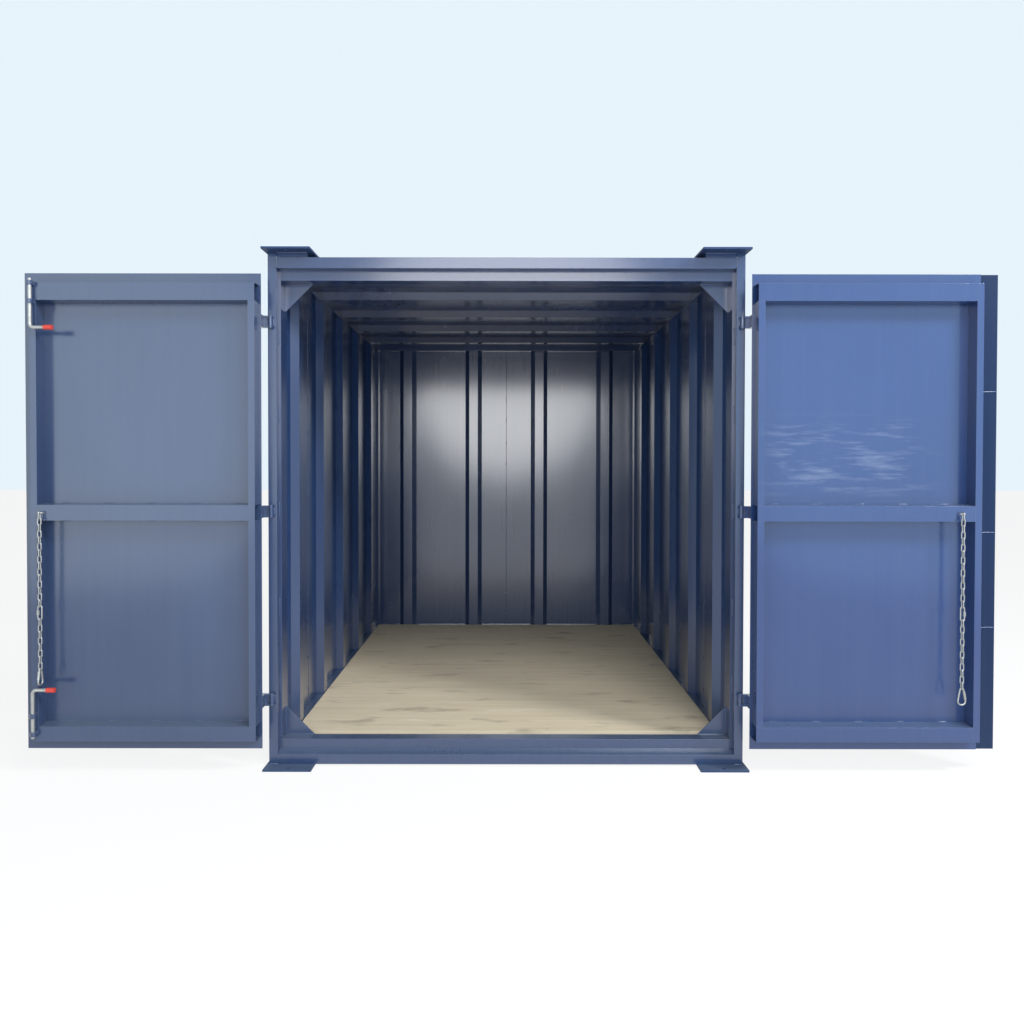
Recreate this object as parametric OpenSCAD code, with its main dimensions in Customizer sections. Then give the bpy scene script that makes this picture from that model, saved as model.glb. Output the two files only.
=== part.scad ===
// Steel site store with two full-height doors folded open.
// X runs across the front, Y runs from the doors to the rear wall and Z is up from the ground.

/* [Cabin] */
// Width over the corner posts
cabin_w = 2438; // [2000:1:3000]
// Length over the corner posts
cabin_l = 3048; // [2600:1:6100]
// Height of the steel frame above its base plates
frame_h = 2600; // [2200:1:2900]
// Wall of the frame tubes
tube_wall = 3; // [2:0.5:5]
// Width of the side rails and rear posts
rail_w = 90; // [90:1:120]
// Height of the upper rails
top_rail_h = 60; // [50:1:100]

/* [Front frame] */
// Width of a front post
post_w = 44; // [36:1:70]
// Depth of the rebate that the doors close into
rebate_d = 45; // [42:1:80]
// Height of the header's front face
header_h = 55; // [45:1:90]
// Height of the sill's front face
sill_h = 49; // [40:1:80]
// Rise of the sloping sill ledge towards the stop
sill_fall = 20; // [5:1:30]
// Depth of the head and sill stops
stop_d = 75; // [50:1:75]
// Depth of the inner posts that carry the side stops
side_stop_d = 110; // [90:1:160]
// Face of a side stop that shows inside its post
side_stop_lap = 10; // [8:1:25]
// Face of the head stop that shows under the header
head_stop_lap = 54; // [35:1:80]
// Face of the sill stop above the sill
sill_stop_lap = 66; // [45:1:90]
// Leg of a corner gusset
gusset_leg = 150; // [80:1:220]
// Thickness of a corner gusset
gusset_t = 6; // [4:0.5:10]
// Lap of a gusset on the stop that carries it
gusset_lap = 30; // [15:1:40]

/* [Corner plates] */
// Width and depth of a plate
plate_w = 245; // [200:1:300]
// Thickness of a plate
plate_t = 10; // [6:0.5:16]
// Overhang of a plate in front of the posts and behind them
plate_over = 80; // [40:1:110]
// Overhang of a plate beside the posts
plate_side = 12; // [0:1:30]
// Radius of the bolt hole in a plate
plate_hole_r = 9; // [6:0.5:14]
// Distance of the bolt hole from the plate's outer edge
plate_hole_edge = 25; // [18:1:35]
// Width of a stacking block
block_w = 158; // [120:1:200]
// Depth of a stacking block
block_d = 150; // [100:1:160]
// Height of a stacking block
block_h = 24; // [20:1:60]

/* [Ribbed sheets] */
// Thickness of the sheets
sheet_t = 2; // [1.5:0.5:3]
// Set-back of the sheets from the outside of the frame
sheet_in = 45; // [30:1:46]
// Distance between ribs
rib_pitch = 580; // [400:1:700]
// Distance of the first rib's middle from the front
rib_first = 320; // [280:1:400]
// Width of a rib at its foot
rib_base = 145; // [110:1:180]
// Width of a rib's flat face
rib_face = 75; // [40:1:100]
// Depth of a rib
rib_d = 40; // [20:1:42]

/* [Floor] */
// Thickness of the floor boards
floor_t = 27; // [18:1:35]
// Step of the floor above the sill stop
floor_step = 5; // [0:1:15]
// Distance of the floor's front edge from the front
floor_y = 158; // [150:1:200]
// Number of floor boards
floor_n = 3; // [2:1:6]
// Gap between floor boards and at their edges
floor_gap = 2; // [1:0.5:5]
// Number of floor bearers
bearer_n = 7; // [4:1:12]
// Width of a bearer
bearer_w = 50; // [40:1:80]
// Height of a bearer
bearer_h = 60; // [40:1:80]

/* [Doors] */
// Thickness of a door over its skin and frame
door_t = 80; // [60:1:80]
// Thickness of a door's skin
skin_t = 3; // [2:0.5:4]
// Gap in front of the stops when a door is closed
stop_gap = 7; // [5:0.5:10]
// Gap between a skin and its post when the door is closed
edge_gap = 6; // [5:0.5:10]
// Lap of the skins over the head and sill stops
skin_lap = 10; // [6:1:20]
// Rim of the skin above and below the door frame
rim_h = 61; // [45:1:80]
// Lap of the left skin over the middle of the doorway
meeting_lap = 16; // [5:1:25]
// Gap between the two skins at the meeting line
meeting_gap = 6; // [5:0.5:10]
// Distance of a meeting stile from the middle of the doorway
stile_set = 49; // [40:1:70]
// Width of a stile's face
stile_w = 33; // [25:1:50]
// Height of a top rail's face
door_top_h = 88; // [60:1:110]
// Height of a mid rail's face
door_mid_h = 78; // [60:1:110]
// Height of a bottom rail's face
door_bottom_h = 74; // [60:1:110]
// Spread of a rail's flanks towards the skin
rail_draft = 5; // [0:0.5:8]
// Sheet of the rails and stiles
channel_t = 3; // [2:0.5:4]

/* [Hinges] */
// Distance of a hinge axis from the outside of its post
hinge_in = 18; // [16:1:24]
// Distance of a hinge axis in front of its post
hinge_out = 15; // [14:0.5:22]
// Distance of the end hinges from the ends of the skin
hinge_end = 233; // [150:1:400]
// Outer radius of a knuckle
knuckle_r = 12; // [10:0.5:13]
// Height of a knuckle
knuckle_h = 40; // [30:1:60]
// Radius of a hinge pin
pin_r = 6; // [4:0.5:7]
// Radial play of the pins and bolts
running_gap = 0.05; // [0.02:0.01:0.1]
// Thickness of a hinge lug
lug_t = 10; // [8:0.5:14]
// Half width of a lug's arm
lug_half = 9; // [7:0.5:9]
// Foot of a lug along the skin
lug_foot = 60; // [30:1:90]
// Thickness of the bent web between two lugs
web_t = 8; // [5:0.5:10]
// Gap between a web and its knuckle
web_gap = 3; // [2:0.5:5]
// Play of the lugs above and below a knuckle
lug_play = 0.5; // [0.2:0.1:0.8]
// Stand of a pin's ends past the lugs
pin_tail = 3; // [1:0.5:6]

/* [Shoot bolts] */
// Radius of a bolt rod
rod_r = 9; // [7:0.5:10]
// Distance of a bolt's axis from the stile's face
rod_off = 20; // [18:0.5:26]
// Length of a rod from its tip to its handle
rod_l = 240; // [200:1:320]
// Rest of the upper tip under the head stop
upper_rest = 37; // [20:1:60]
// Rest of the lower tip above the sill stop
lower_rest = 72; // [30:1:80]
// Radius of the handle's bend
bend_r = 20; // [15:1:30]
// Reach of a handle from the rod's axis
handle_l = 104; // [80:1:140]
// Outer radius of a grip
grip_r = 12; // [11:0.5:16]
// Length of a grip
grip_l = 40; // [25:1:50]
// Thickness of a grip's closed end
grip_end = 5; // [3:0.5:8]
// Wall of a bolt guide round its bore
guide_wall = 6; // [4:0.5:8]
// Height of a bolt guide
guide_h = 22; // [15:1:30]
// Distance between the two guides of a bolt
guide_step = 90; // [60:1:95]

/* [Cover strip] */
// Reach of the strip over the left skin
strip_reach = 70; // [50:1:100]
// Foot of the strip on the right skin
strip_foot = 40; // [25:1:60]
// Thickness of the strip
strip_t = 4; // [3:0.5:5]
// Offset of the strip's free part from the skin
strip_gap = 7; // [6:0.5:9]

/* [Chains] */
// Radius of the wire
wire_r = 3; // [2:0.25:4]
// Pitch of the links
link_pitch = 31; // [26:0.5:40]
// Inner width of a link
link_w = 10; // [9:0.5:14]
// Play between links
link_gap = 0.3; // [0.2:0.05:0.4]
// Distance of the left chain from the meeting stile
left_chain_in = 24; // [15:1:90]
// Distance of the right chain from the meeting stile
right_chain_in = 72; // [15:1:90]
// Pitches in the left chain
left_links = 25; // [18:1:26]
// Pitches in the right chain
right_links = 28; // [18:1:30]
// Links above a chain's joining link
links_above = 15; // [2:1:15]
// Radius of a joining link's wire
join_r = 3.5; // [3:0.25:4.5]
// Inner width of a joining link
join_w = 12; // [11:0.5:16]
// Radius of a joining link's nut over its corners
nut_r = 7; // [5.5:0.5:8]
// Height of a joining link's nut
nut_h = 22; // [12:1:28]
// Radius of a staple's wire
staple_r = 4; // [3:0.25:4.25]
// Radius of a staple's bow
staple_bow_r = 13; // [11:0.5:18]
// Straight leg of a staple
staple_leg = 9; // [5:0.5:15]
// Radius of a snap hook's wire
hook_r = 4; // [3:0.25:4]
// Length of a snap hook
hook_l = 90; // [70:1:110]
// Width of a snap hook at its wide end
hook_w = 45; // [36:1:55]
// Radius of a snap hook's narrow end
hook_top_r = 9; // [8.5:0.5:12]
// Swell of a snap hook's wire where its bends begin
hook_swell = 0.5; // [0.3:0.1:0.8]
// Radius of a snap hook's sleeve
sleeve_r = 6.5; // [5.5:0.5:8]

/* [Hidden] */
$fn = 48;

// Overrun of every cut
cut = 1;
navy = [0.13, 0.19, 0.36];
navy_light = [0.2, 0.28, 0.46];
plywood = [0.66, 0.6, 0.48];
zinc = [0.72, 0.73, 0.74];
red = [0.75, 0.1, 0.1];
LEFT = -1;
RIGHT = 1;
ALONG_X = [1, 0, 0];
ALONG_Y = [0, 1, 0];
ALONG_Z = [0, 0, 1];

half_w = cabin_w / 2;
base_z = plate_t;
top_z = base_z + frame_h;
post_in_x = half_w - post_w;
stop_in_x = post_in_x - side_stop_lap;
rail_in_x = half_w - rail_w;
inner_y = rebate_d + side_stop_d;
stop_back_y = rebate_d + stop_d;
rear_y = cabin_l - rail_w;
header_z = top_z - header_h;
head_stop_z = header_z - head_stop_lap;
sill_z = base_z + sill_h;
sill_stop_z = sill_z + sill_stop_lap;
top_rail_z = top_z - top_rail_h;

// Sheets: the pans lie outside and the ribs press inwards
pan_x = half_w - sheet_in;
pan_y = cabin_l - sheet_in;
rib_in_x = pan_x - sheet_t - rib_d;
rib_in_y = pan_y - sheet_t - rib_d;
// Middles of the ribs across the rear wall, even about its own middle
rear_w = 2 * rail_in_x;
rear_n = floor((rear_w - rib_base) / rib_pitch) + 1;
rear_ribs = [for (k = [0:rear_n - 1]) rear_w / 2 + (k - (rear_n - 1) / 2) * rib_pitch];

floor_z = sill_stop_z + floor_step;
floor_x = min(rib_in_x, rail_in_x) - floor_gap;
floor_end_y = min(rib_in_y, rear_y) - floor_gap;
board_l = (floor_end_y - floor_y - (floor_n - 1) * floor_gap) / floor_n;
plate_x = half_w + plate_side - plate_w / 2;

// Doors: u runs from the hinge axis to the free edge and v from the axis to the open door's inner face
hinge_x = half_w - hinge_in;
hinge_y = -hinge_out;
skin_v = hinge_out + rebate_d - stop_gap - skin_t;
skin_in_v = skin_v + skin_t;
face_v = skin_v + door_t;
skin_u = hinge_x - post_in_x + edge_gap;
frame_u = hinge_x - stop_in_x + edge_gap;
left_skin_end = hinge_x + meeting_lap;
right_skin_end = hinge_x - meeting_gap - meeting_lap;
frame_end = hinge_x - stile_set;
stile_u = frame_end - stile_w;
skin_z0 = sill_stop_z - skin_lap;
skin_z1 = head_stop_z + skin_lap;
frame_z0 = skin_z0 + rim_h;
frame_z1 = skin_z1 - rim_h;
mid_z = (skin_z0 + skin_z1) / 2;
top_mid_z = frame_z1 - door_top_h / 2;
bottom_mid_z = frame_z0 + door_bottom_h / 2;
door_rail_mids = [top_mid_z, mid_z, bottom_mid_z];
door_rail_heights = [door_top_h, door_mid_h, door_bottom_h];
hinge_zs = [skin_z0 + hinge_end, mid_z, skin_z1 - hinge_end];

lug_reach = knuckle_h / 2 + lug_play + lug_t;
rod_u = stile_u + stile_w / 2;
rod_v = face_v + rod_off;
guide_r = rod_r + guide_wall;
upper_tip_z = head_stop_z - upper_rest;
lower_tip_z = sill_stop_z + lower_rest;

left_chain_u = stile_u - left_chain_in;
right_chain_u = stile_u - right_chain_in;
chain_v = face_v + staple_leg + staple_bow_r;
link_l = link_pitch + link_gap;
join_l = link_pitch + link_l;
nut_sides = 6;
// Middle of the first link, which hangs on the staple's bow
first_link_z = mid_z + staple_r + link_gap - link_l / 2;
// A snap hook's sides lean outwards from its narrow end to its wide end
hook_bow_r = hook_w / 2 - hook_r;
hook_drop = hook_l - hook_bow_r - hook_top_r - 2 * hook_r;
hook_lean = asin((hook_bow_r - hook_top_r) / hook_drop);
hook_side = hook_drop * cos(hook_lean);

// The origin lies under the middle of the outline that the open doors and the rear plates give
front_y = -(cabin_l + plate_over - hinge_out - rod_v - guide_r) / 2;

module place() {
    translate([0, front_y, 0]) children();
}

module both_sides() {
    children();
    mirror([1, 0, 0]) children();
}

module both_ends() {
    children();
    translate([0, cabin_l, 0]) mirror([0, 1, 0]) children();
}

module block(low, high) {
    translate(low) cube(high - low);
}

// A box tube between two corners, open along one axis, given as a unit vector
module tube(low, high, along) {
    wall = [for (k = [0:2]) along[k] == 0 ? tube_wall : -cut];
    difference() {
        block(low, high);
        block(low + wall, high - wall);
    }
}

// Section of a ribbed sheet from 0 to length: the pan's outside lies on 0 and the ribs stand up
function rib_steps(mids) = [
    for (m = mids)
        for (p = [[-rib_base / 2, 0], [-rib_face / 2, rib_d], [rib_face / 2, rib_d], [rib_base / 2, 0]])
            [m + p[0], p[1]]
];

module ribbed_section(length, mids) {
    line = concat([[0, 0]], rib_steps(mids), [[length, 0]]);
    back = [for (k = [len(line) - 1:-1:0]) [line[k][0], line[k][1] + sheet_t]];
    polygon(concat(line, back));
}

// Middles of the ribs along the cabin, measured from a sheet's front edge
function long_ribs(start) = [
    for (y = [rib_first:rib_pitch:rear_y - rib_base]) y - start
];

// The front posts run up past the header to the stacking plates
module front_posts() {
    color(navy) place() both_sides()
        tube([post_in_x, 0, base_z], [half_w, rebate_d, top_z + block_h], ALONG_Z);
}

module side_stops() {
    color(navy) place() both_sides()
        tube([stop_in_x, rebate_d, base_z], [half_w, inner_y, top_z], ALONG_Z);
}

module rear_posts() {
    color(navy) place() both_sides()
        tube([rail_in_x, rear_y, base_z], [half_w, cabin_l, top_z], ALONG_Z);
}

module front_header() {
    color(navy) place()
        tube([-post_in_x, 0, header_z], [post_in_x, rebate_d, top_z], ALONG_X);
}

// Folded sill whose ledge rises towards the stop, so that rain runs off
module sill_section(inset) {
    polygon([
        [inset, inset],
        [rebate_d - inset, inset],
        [rebate_d - inset, sill_h + sill_fall - inset],
        [inset, sill_h - inset]
    ]);
}

module front_sill() {
    color(navy) place() translate([-post_in_x, 0, base_z])
        rotate([90, 0, 90]) linear_extrude(2 * post_in_x) difference() {
            sill_section(0);
            sill_section(tube_wall);
        }
}

module head_stop() {
    color(navy) place()
        tube([-stop_in_x, rebate_d, head_stop_z], [stop_in_x, stop_back_y, top_z], ALONG_X);
}

module sill_stop() {
    color(navy) place()
        tube([-stop_in_x, rebate_d, base_z], [stop_in_x, stop_back_y, sill_stop_z], ALONG_X);
}

module rear_header() {
    color(navy) place()
        tube([-rail_in_x, rear_y, top_rail_z], [rail_in_x, cabin_l, top_z], ALONG_X);
}

module rear_sill() {
    color(navy) place()
        tube([-rail_in_x, rear_y, base_z], [rail_in_x, cabin_l, sill_stop_z], ALONG_X);
}

module top_side_rails() {
    color(navy) place() both_sides()
        tube([rail_in_x, inner_y, top_rail_z], [half_w, rear_y, top_z], ALONG_Y);
}

module bottom_side_rails() {
    color(navy) place() both_sides()
        tube([rail_in_x, inner_y, base_z], [half_w, rear_y, sill_stop_z], ALONG_Y);
}

// A side wall stands on its bottom rail, between the inner post and the rear post
module side_wall() {
    translate([pan_x, inner_y, sill_stop_z]) rotate(90)
        linear_extrude(top_rail_z - sill_stop_z) ribbed_section(rear_y - inner_y, long_ribs(inner_y));
}

module left_wall() {
    color(navy_light) place() mirror([1, 0, 0]) side_wall();
}

module right_wall() {
    color(navy_light) place() side_wall();
}

module rear_wall() {
    color(navy_light) place() translate([rail_in_x, pan_y, sill_stop_z]) rotate(180)
        linear_extrude(top_rail_z - sill_stop_z) ribbed_section(rear_w, rear_ribs);
}

// The roof's pans lie level with the top rails, its ribs run across and its front strip fills in between
// the inner posts
module roof() {
    color(navy_light) place() {
        translate([-rail_in_x, stop_back_y, top_z]) mirror([0, 0, 1]) rotate([90, 0, 90])
            linear_extrude(2 * rail_in_x) ribbed_section(rear_y - stop_back_y, long_ribs(stop_back_y));
        block([-stop_in_x, stop_back_y, top_z - sheet_t], [stop_in_x, inner_y, top_z]);
    }
}

module floor_boards() {
    color(plywood) place() for (k = [0:floor_n - 1])
        translate([-floor_x, floor_y + k * (board_l + floor_gap), floor_z - floor_t])
            cube([2 * floor_x, board_l, floor_t]);
}

// Channel bearers, open downwards, between the bottom rails
module floor_bearers() {
    bearer_step = (floor_end_y - floor_y - bearer_w) / (bearer_n - 1);
    bearer_z = floor_z - floor_t - bearer_h;
    color(navy) place() for (k = [0:bearer_n - 1])
        translate([-rail_in_x, floor_y + k * bearer_step, bearer_z]) difference() {
            cube([2 * rail_in_x, bearer_w, bearer_h]);
            translate([-cut, tube_wall, -cut])
                cube([2 * (rail_in_x + cut), bearer_w - 2 * tube_wall, bearer_h - tube_wall + cut]);
        }
}

module corner_plate() {
    difference() {
        translate([plate_x - plate_w / 2, -plate_over, 0]) cube([plate_w, plate_w, plate_t]);
        translate([plate_x, plate_hole_edge - plate_over, -cut])
            cylinder(r = plate_hole_r, h = plate_t + 2 * cut);
    }
}

module base_plates() {
    color(navy) place() both_ends() both_sides() corner_plate();
}

module stacking_plates() {
    color(navy) place() both_ends() both_sides()
        translate([0, 0, top_z + block_h]) corner_plate();
}

module stacking_blocks() {
    color(navy) place() both_ends() both_sides()
        tube([post_in_x - block_w, 0, top_z], [post_in_x, block_d, top_z + block_h], ALONG_Z);
}

// A gusset lies behind its stop and against the inner post: a right triangle with a lap on the stop
module gusset() {
    rotate([90, 0, 0]) mirror([0, 0, 1]) linear_extrude(gusset_t) polygon([
        [0, gusset_lap],
        [-gusset_leg, gusset_lap],
        [-gusset_leg, 0],
        [0, -gusset_leg]
    ]);
}

module frame_gussets() {
    color(navy) place() both_sides() {
        translate([stop_in_x, stop_back_y, head_stop_z]) gusset();
        translate([stop_in_x, stop_back_y, sill_stop_z]) mirror([0, 0, 1]) gusset();
    }
}

// Sets a door's own u, v and z into the cabin, with the door folded open flat
module on_leaf(side) {
    place() translate([side * hinge_x, hinge_y, 0])
        rotate([0, 0, side == LEFT ? 180 : 0]) mirror([0, side == LEFT ? 0 : 1, 0]) children();
}

// Knuckle on a post's face, with the fixed pin that carries the door's lugs
module post_hinge() {
    translate([0, 0, -knuckle_h / 2]) {
        cylinder(r = knuckle_r, h = knuckle_h);
        translate([-knuckle_r, 0, 0]) cube([2 * knuckle_r, hinge_out, knuckle_h]);
    }
    translate([0, 0, -lug_reach - pin_tail]) cylinder(r = pin_r, h = 2 * (lug_reach + pin_tail));
}

module post_hinges(side) {
    color(navy) place() for (z = hinge_zs)
        translate([side * hinge_x, hinge_y, z]) post_hinge();
}

module left_post_hinges() {
    post_hinges(LEFT);
}

module right_post_hinges() {
    post_hinges(RIGHT);
}

// Swan-necked lug: it reaches round the post's edge from the pin to the skin's outer face
module lug() {
    difference() {
        linear_extrude(lug_t) {
            circle(r = knuckle_r);
            polygon([
                [0, -lug_half],
                [skin_u + lug_foot / 2, -lug_half],
                [skin_u + lug_foot, skin_v / 2],
                [skin_u + lug_foot, skin_v],
                [skin_u, skin_v],
                [skin_u, lug_half],
                [0, lug_half]
            ]);
        }
        translate([0, 0, -cut]) cylinder(r = pin_r + running_gap, h = lug_t + 2 * cut);
    }
}

// Web between two lugs, bent round the post's edge: it ends short of the knuckle and on the skin
module lug_web() {
    near_u = knuckle_r + web_gap;
    linear_extrude(2 * lug_reach - lug_t) polygon([
        [near_u, -web_t / 2],
        [skin_u + web_t, -web_t / 2],
        [skin_u + web_t, skin_v],
        [skin_u, skin_v],
        [skin_u, web_t / 2],
        [near_u, web_t / 2]
    ]);
}

module door_lugs(side) {
    color(navy) on_leaf(side) for (z = hinge_zs) {
        translate([0, 0, z + knuckle_h / 2 + lug_play]) lug();
        translate([0, 0, z - lug_reach]) lug();
        translate([0, 0, z - lug_reach + lug_t / 2]) lug_web();
    }
}

module left_door_lugs() {
    door_lugs(LEFT);
}

module right_door_lugs() {
    door_lugs(RIGHT);
}

module door_skin(side, end_u) {
    color(navy_light) on_leaf(side)
        block([skin_u, skin_v, skin_z0], [end_u, skin_in_v, skin_z1]);
}

module left_door_skin() {
    door_skin(LEFT, left_skin_end);
}

module right_door_skin() {
    door_skin(RIGHT, right_skin_end);
}

// Outline of a folded rail in v and z, its flanks spread towards the skin
module rail_outline(height, inset) {
    polygon([
        [skin_in_v, -height / 2 - rail_draft + inset],
        [face_v - inset, -height / 2 + inset],
        [face_v - inset, height / 2 - inset],
        [skin_in_v, height / 2 + rail_draft - inset]
    ]);
}

module rail_body(height, inset, from_u, to_u) {
    translate([from_u, 0, 0]) rotate([90, 0, 90])
        linear_extrude(to_u - from_u) rail_outline(height, inset);
}

module door_rails(side) {
    color(navy) on_leaf(side) for (k = [0:len(door_rail_mids) - 1])
        translate([0, 0, door_rail_mids[k]]) difference() {
            rail_body(door_rail_heights[k], 0, frame_u, stile_u);
            rail_body(door_rail_heights[k], channel_t, frame_u - cut, stile_u + cut);
        }
}

module left_door_rails() {
    door_rails(LEFT);
}

module right_door_rails() {
    door_rails(RIGHT);
}

// A folded stile, open towards the skin
module stile(from_u, low_z, high_z) {
    difference() {
        block([from_u, skin_in_v, low_z], [from_u + stile_w, face_v, high_z]);
        block(
            [from_u + channel_t, skin_in_v - cut, low_z - cut],
            [from_u + stile_w - channel_t, face_v - channel_t, high_z + cut]
        );
    }
}

// The meeting stile runs the whole height and the hinge stile fits between the rails
module door_stiles(side) {
    color(navy) on_leaf(side) {
        stile(stile_u, frame_z0, frame_z1);
        difference() {
            stile(frame_u, bottom_mid_z, top_mid_z);
            for (k = [0:len(door_rail_mids) - 1])
                translate([0, 0, door_rail_mids[k]])
                    rail_body(door_rail_heights[k], 0, frame_u - cut, stile_u);
        }
    }
}

module left_door_stiles() {
    door_stiles(LEFT);
}

module right_door_stiles() {
    door_stiles(RIGHT);
}

// Joggled strip: its foot lies on the right skin and its free part covers the meeting line
module right_door_cover_strip() {
    reach_u = hinge_x + strip_reach;
    foot_u = right_skin_end - strip_foot;
    free_v = skin_v - strip_gap;
    color(navy) on_leaf(RIGHT) translate([0, 0, skin_z0]) linear_extrude(skin_z1 - skin_z0) polygon([
        [foot_u, skin_v],
        [right_skin_end - strip_gap, skin_v],
        [right_skin_end, free_v],
        [reach_u, free_v],
        [reach_u, free_v - strip_t],
        [right_skin_end - strip_t, free_v - strip_t],
        [right_skin_end - strip_gap - strip_t, skin_v - strip_t],
        [foot_u, skin_v - strip_t]
    ]);
}

// A ring of wire with straight sides, in the plane of X and Z
module wire_ring(bow_r, straight, r) {
    for (end = [0, 1]) mirror([0, 0, end]) translate([0, 0, straight / 2])
        rotate([90, 0, 0]) rotate_extrude(angle = 180) translate([bow_r, 0]) circle(r = r);
    for (x = [-bow_r, bow_r]) translate([x, 0, -straight / 2]) cylinder(r = r, h = straight);
}

module chain_link() {
    wire_ring(link_w / 2 + wire_r, link_l - link_w, wire_r);
}

// Long link that is closed by a nut on one side
module joining_link() {
    bow_r = join_w / 2 + join_r;
    wire_ring(bow_r, join_l - join_w, join_r);
    translate([bow_r, 0, -nut_h / 2]) cylinder(r = nut_r, h = nut_h, $fn = nut_sides);
}

// Turn of a link, a quarter from the one above it
function link_turn(k) = k % 2 == 0 ? 90 : 0;

// Welded links with a joining link among them that takes up two pitches
module chain(side, chain_u, links) {
    color(zinc) on_leaf(side) translate([chain_u, chain_v, first_link_z]) {
        for (k = [0:links_above - 1])
            translate([0, 0, -k * link_pitch]) rotate(link_turn(k)) chain_link();
        translate([0, 0, -(links_above + 1 / 2) * link_pitch]) rotate(link_turn(links_above)) joining_link();
        for (k = [links_above + 1:links - 2])
            translate([0, 0, -(k + 1) * link_pitch]) rotate(link_turn(k)) chain_link();
    }
}

module left_chain() {
    chain(LEFT, left_chain_u, left_links);
}

module right_chain() {
    chain(RIGHT, right_chain_u, right_links);
}

// Half ring on two legs that stands on the mid rail's face
module chain_staple(side, chain_u) {
    color(zinc) on_leaf(side) translate([chain_u, face_v, mid_z]) {
        translate([0, staple_leg, 0])
            rotate_extrude(angle = 180) translate([staple_bow_r, 0]) circle(r = staple_r);
        for (u = [-staple_bow_r, staple_bow_r])
            translate([u, 0, 0]) rotate([-90, 0, 0]) cylinder(r = staple_r, h = staple_leg);
    }
}

module left_chain_staple() {
    chain_staple(LEFT, left_chain_u);
}

module right_chain_staple() {
    chain_staple(RIGHT, right_chain_u);
}

// Runs down the hook's right side from where the narrow end's bend begins
module along_hook_side() {
    translate([hook_top_r * cos(hook_lean), 0, hook_top_r * sin(hook_lean)])
        rotate([0, 180 - hook_lean, 0]) children();
}

module hook_bar() {
    along_hook_side() {
        cylinder(r = hook_r, h = hook_side);
        for (z = [0, hook_side]) translate([0, 0, z]) sphere(r = hook_r + hook_swell);
    }
}

// Pear-shaped snap hook on the last link, with a sleeve round its gate
module snap_hook(side, chain_u, links) {
    last_bow_z = first_link_z - (links - 1) * link_pitch - link_l / 2 - wire_r;
    hook_z = last_bow_z + wire_r + hook_r + link_gap - hook_top_r;
    color(zinc) on_leaf(side) translate([chain_u, chain_v, hook_z]) rotate(link_turn(links - 1)) {
        rotate([90, -hook_lean, 0]) rotate_extrude(angle = 180 - 2 * hook_lean)
            translate([hook_top_r, 0]) circle(r = hook_r);
        translate([0, 0, -hook_drop]) rotate([90, hook_lean, 0]) rotate([0, 0, 180])
            rotate_extrude(angle = 180 + 2 * hook_lean) translate([hook_bow_r, 0]) circle(r = hook_r);
        both_sides() hook_bar();
        along_hook_side() translate([0, 0, sleeve_r]) cylinder(r = sleeve_r, h = hook_side - 2 * sleeve_r);
    }
}

module left_snap_hook() {
    snap_hook(LEFT, left_chain_u, left_links);
}

module right_snap_hook() {
    snap_hook(RIGHT, right_chain_u, right_links);
}

// Tube guide on a foot that stands on the stile's face
module bolt_guide() {
    translate([0, 0, -guide_h / 2]) difference() {
        union() {
            cylinder(r = guide_r, h = guide_h);
            translate([-rod_r, -rod_off, 0]) cube([2 * rod_r, rod_off, guide_h]);
        }
        translate([0, 0, -cut]) cylinder(r = rod_r + running_gap, h = guide_h + 2 * cut);
    }
}

module bolt_guides() {
    color(navy) on_leaf(LEFT) for (k = [0, 1]) {
        translate([rod_u, rod_v, upper_tip_z - guide_h - k * guide_step]) bolt_guide();
        translate([rod_u, rod_v, lower_tip_z + guide_h + k * guide_step]) bolt_guide();
    }
}

// A rod whose tip is at the origin and whose end is bent into a handle towards the hinge
module bolt_rod() {
    straight = rod_l - bend_r;
    translate([0, 0, -straight]) cylinder(r = rod_r, h = straight);
    translate([-bend_r, 0, -straight])
        rotate([90, 0, 0]) rotate_extrude(angle = -90) translate([bend_r, 0]) circle(r = rod_r);
    translate([-bend_r, 0, -rod_l]) rotate([0, -90, 0]) cylinder(r = rod_r, h = handle_l - bend_r);
}

// A closed sleeve over the end of the handle
module bolt_grip() {
    translate([-handle_l, 0, -rod_l]) rotate([0, -90, 0]) difference() {
        translate([0, 0, grip_end - grip_l]) cylinder(r = grip_r, h = grip_l);
        translate([0, 0, -grip_l]) cylinder(r = rod_r + running_gap, h = grip_l);
    }
}

module at_upper_bolt() {
    on_leaf(LEFT) translate([rod_u, rod_v, upper_tip_z]) children();
}

module at_lower_bolt() {
    on_leaf(LEFT) translate([rod_u, rod_v, lower_tip_z]) mirror([0, 0, 1]) children();
}

module upper_bolt() {
    color(zinc) at_upper_bolt() bolt_rod();
}

module upper_bolt_grip() {
    color(red) at_upper_bolt() bolt_grip();
}

module lower_bolt() {
    color(zinc) at_lower_bolt() bolt_rod();
}

module lower_bolt_grip() {
    color(red) at_lower_bolt() bolt_grip();
}

front_posts();
rear_posts();
front_header();
front_sill();
rear_header();
rear_sill();
side_stops();
head_stop();
sill_stop();
top_side_rails();
bottom_side_rails();
left_wall();
right_wall();
rear_wall();
roof();
floor_boards();
floor_bearers();
base_plates();
stacking_blocks();
stacking_plates();
frame_gussets();
left_post_hinges();
right_post_hinges();
left_door_skin();
left_door_rails();
left_door_stiles();
left_door_lugs();
left_chain_staple();
left_chain();
left_snap_hook();
bolt_guides();
right_door_skin();
right_door_rails();
right_door_stiles();
right_door_lugs();
right_door_cover_strip();
right_chain_staple();
right_chain();
right_snap_hook();
upper_bolt();
upper_bolt_grip();
lower_bolt();
lower_bolt_grip();
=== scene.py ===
# %% [markdown]
# # A steel site store, dressed
# The solids of this store already have their real size: a tube frame, ribbed sheets, a plywood
# floor and two doors folded open. This lesson adds what solids cannot hold: the gloss of the paint,
# the grain of the floor, zinc, plastic, and the weld metal that joins the pieces.

import math

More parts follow.
